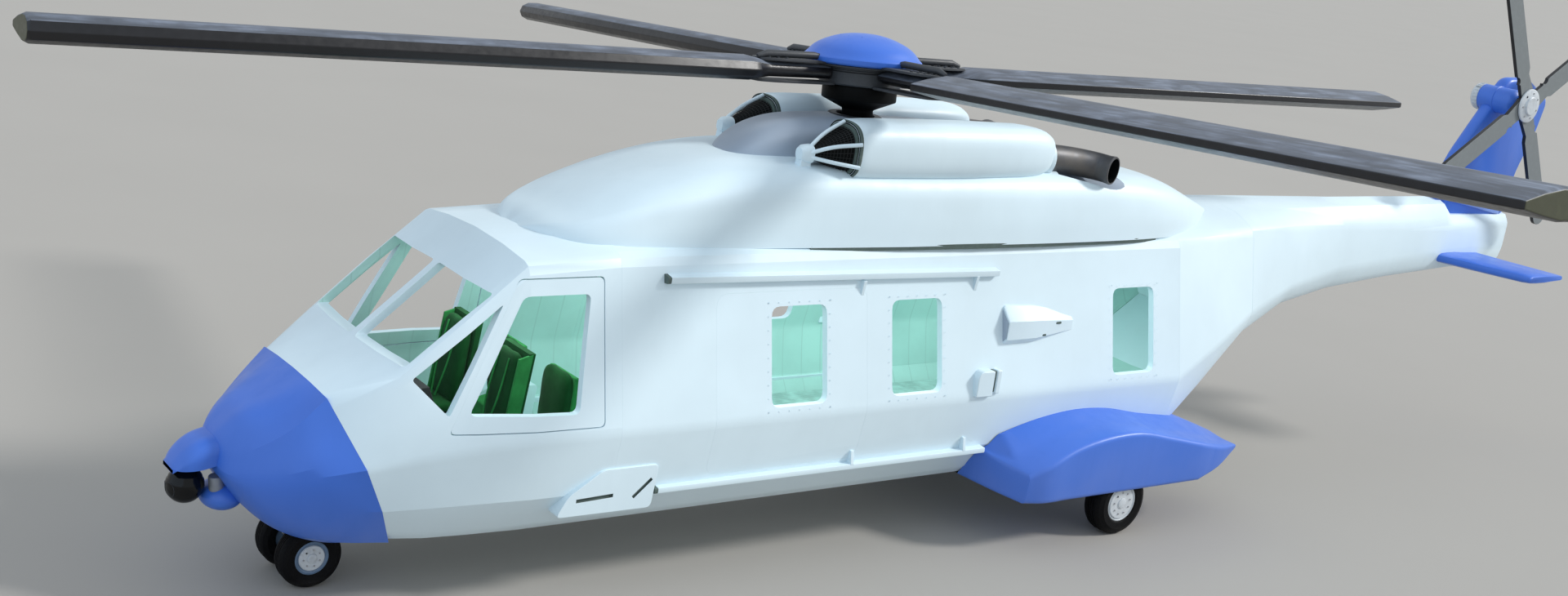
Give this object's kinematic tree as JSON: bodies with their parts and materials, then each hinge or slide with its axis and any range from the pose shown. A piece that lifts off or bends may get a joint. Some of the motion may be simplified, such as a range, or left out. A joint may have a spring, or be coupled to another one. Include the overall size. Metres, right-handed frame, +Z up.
{
  "type": "medium transport helicopter",
  "caption": "Transport helicopter with a hollow cabin, sliding side doors, rear ramp, wheeled gear, a main rotor and a side tail rotor.",
  "frame": {"origin": "on the ground under the middle of the whole machine's length and width", "axes": "+X to the nose, +Y to port, +Z up"},
  "size_m": [19.8309, 14.8655, 6.0636],
  "materials": {
    "white_paint": "satin",
    "blue_paint": "satin",
    "blade_grey": "matt",
    "hub_black": "satin",
    "tyre": "matt rubber",
    "steel": "satin",
    "floor_metal": "painted",
    "screen_mesh": "mesh",
    "seat_fabric": "woven"
  },
  "bodies": {
    "airframe": {"aft_hull": "white_paint", "cabin_floor": "floor_metal", "cabin_roof": "white_paint", "cabin_side_left": "white_paint", "cabin_side_right": "white_paint", "cockpit_floor": "floor_metal", "cockpit_frame": "white_paint", "engine_left": "steel", "engine_nacelle_left": "white_paint", "engine_nacelle_right": "white_paint", "engine_right": "steel", "exhaust_pipe_left": "steel", "exhaust_pipe_right": "steel", "gearbox_cowling": "white_paint", "instrument_panel": "hub_black", "intake_screen_left": "screen_mesh", "intake_screen_right": "screen_mesh", "lower_hull": "white_paint", "lower_rail_left": "white_paint", "lower_rail_right": "white_paint", "main_gearbox": "steel", "main_leg_left": "steel", "main_leg_right": "steel", "nose_cone": "blue_paint", "pilot_seat_left": "seat_fabric", "pilot_seat_right": "seat_fabric", "sensor_hood": "blue_paint", "side_fairing_left": "white_paint", "side_fairing_right": "white_paint", "sliding_door_left": "white_paint", "sliding_door_right": "white_paint", "sponson_left": "blue_paint", "sponson_right": "blue_paint", "stabiliser": "blue_paint", "step_panel_left": "white_paint", "step_panel_right": "white_paint", "tail_boom": "white_paint", "tail_fin": "blue_paint", "tail_gearbox": "blue_paint", "tail_gearbox_cap": "white_paint", "upper_cowling": "white_paint", "upper_rail_left": "white_paint", "upper_rail_right": "white_paint"},
    "main_rotor": {"rotor_hub": "hub_black", "rotor_dome": "blue_paint", "rotor_blade_front": "blade_grey", "rotor_blade_left": "blade_grey", "rotor_blade_rear": "blade_grey", "rotor_blade_right": "blade_grey"},
    "tail_rotor": {"tail_rotor_hub": "white_paint", "tail_rotor_blades": "blade_grey"},
    "nose_leg": {"nose_leg": "steel"},
    "nose_wheels": {"nose_wheels": "tyre"},
    "main_wheel_left": {"main_wheel_left": "tyre"},
    "main_wheel_right": {"main_wheel_right": "tyre"},
    "cockpit_door_left": {"cockpit_door_left": "white_paint"},
    "cockpit_door_right": {"cockpit_door_right": "white_paint"},
    "rear_ramp": {"rear_ramp": "white_paint"},
    "sensor": {"sensor_ball": "hub_black"}
  },
  "joints": [
    {"name": "main_rotor_spin", "type": "hinge", "parent": "airframe", "child": "main_rotor", "pos_m": [2.4688, 0, 4.43], "axis": [0, -0.0663, 0.9978], "continuous": true},
    {"name": "tail_rotor_spin", "type": "hinge", "parent": "airframe", "child": "tail_rotor", "pos_m": [-8.3112, 0.47, 4.46], "axis": [0, 1, 0], "continuous": true},
    {"name": "nose_steering", "type": "hinge", "parent": "airframe", "child": "nose_leg", "pos_m": [7.7088, 0, 0.5], "axis": [0, 0, 1], "range_deg": [-60, 60]},
    {"name": "nose_wheel_spin", "type": "hinge", "parent": "nose_leg", "child": "nose_wheels", "pos_m": [7.7088, 0, 0.264], "axis": [0, 1, 0], "continuous": true},
    {"name": "main_wheel_spin_left", "type": "hinge", "parent": "airframe", "child": "main_wheel_left", "pos_m": [-0.3712, 1.6, 0.344], "axis": [0, 1, 0], "continuous": true},
    {"name": "main_wheel_spin_right", "type": "hinge", "parent": "airframe", "child": "main_wheel_right", "pos_m": [-0.3712, -1.6, 0.344], "axis": [0, 1, 0], "continuous": true},
    {"name": "cockpit_door_swing_left", "type": "hinge", "parent": "airframe", "child": "cockpit_door_left", "pos_m": [7.0238, 1.156, 1.56], "axis": [0.4203, 0.1111, -0.9006], "range_deg": [0, 70]},
    {"name": "cockpit_door_swing_right", "type": "hinge", "parent": "airframe", "child": "cockpit_door_right", "pos_m": [7.0238, -1.156, 1.56], "axis": [-0.4203, 0.1111, 0.9006], "range_deg": [0, 70]},
    {"name": "ramp_swing", "type": "hinge", "parent": "airframe", "child": "rear_ramp", "pos_m": [-1.4312, 0, 0.5], "axis": [0, -1, 0], "range_deg": [0, 52]},
    {"name": "sensor_pan", "type": "hinge", "parent": "airframe", "child": "sensor", "pos_m": [8.6788, 0, 0.9], "axis": [0, 0, 1], "range_deg": [-170, 170]}
  ]
}
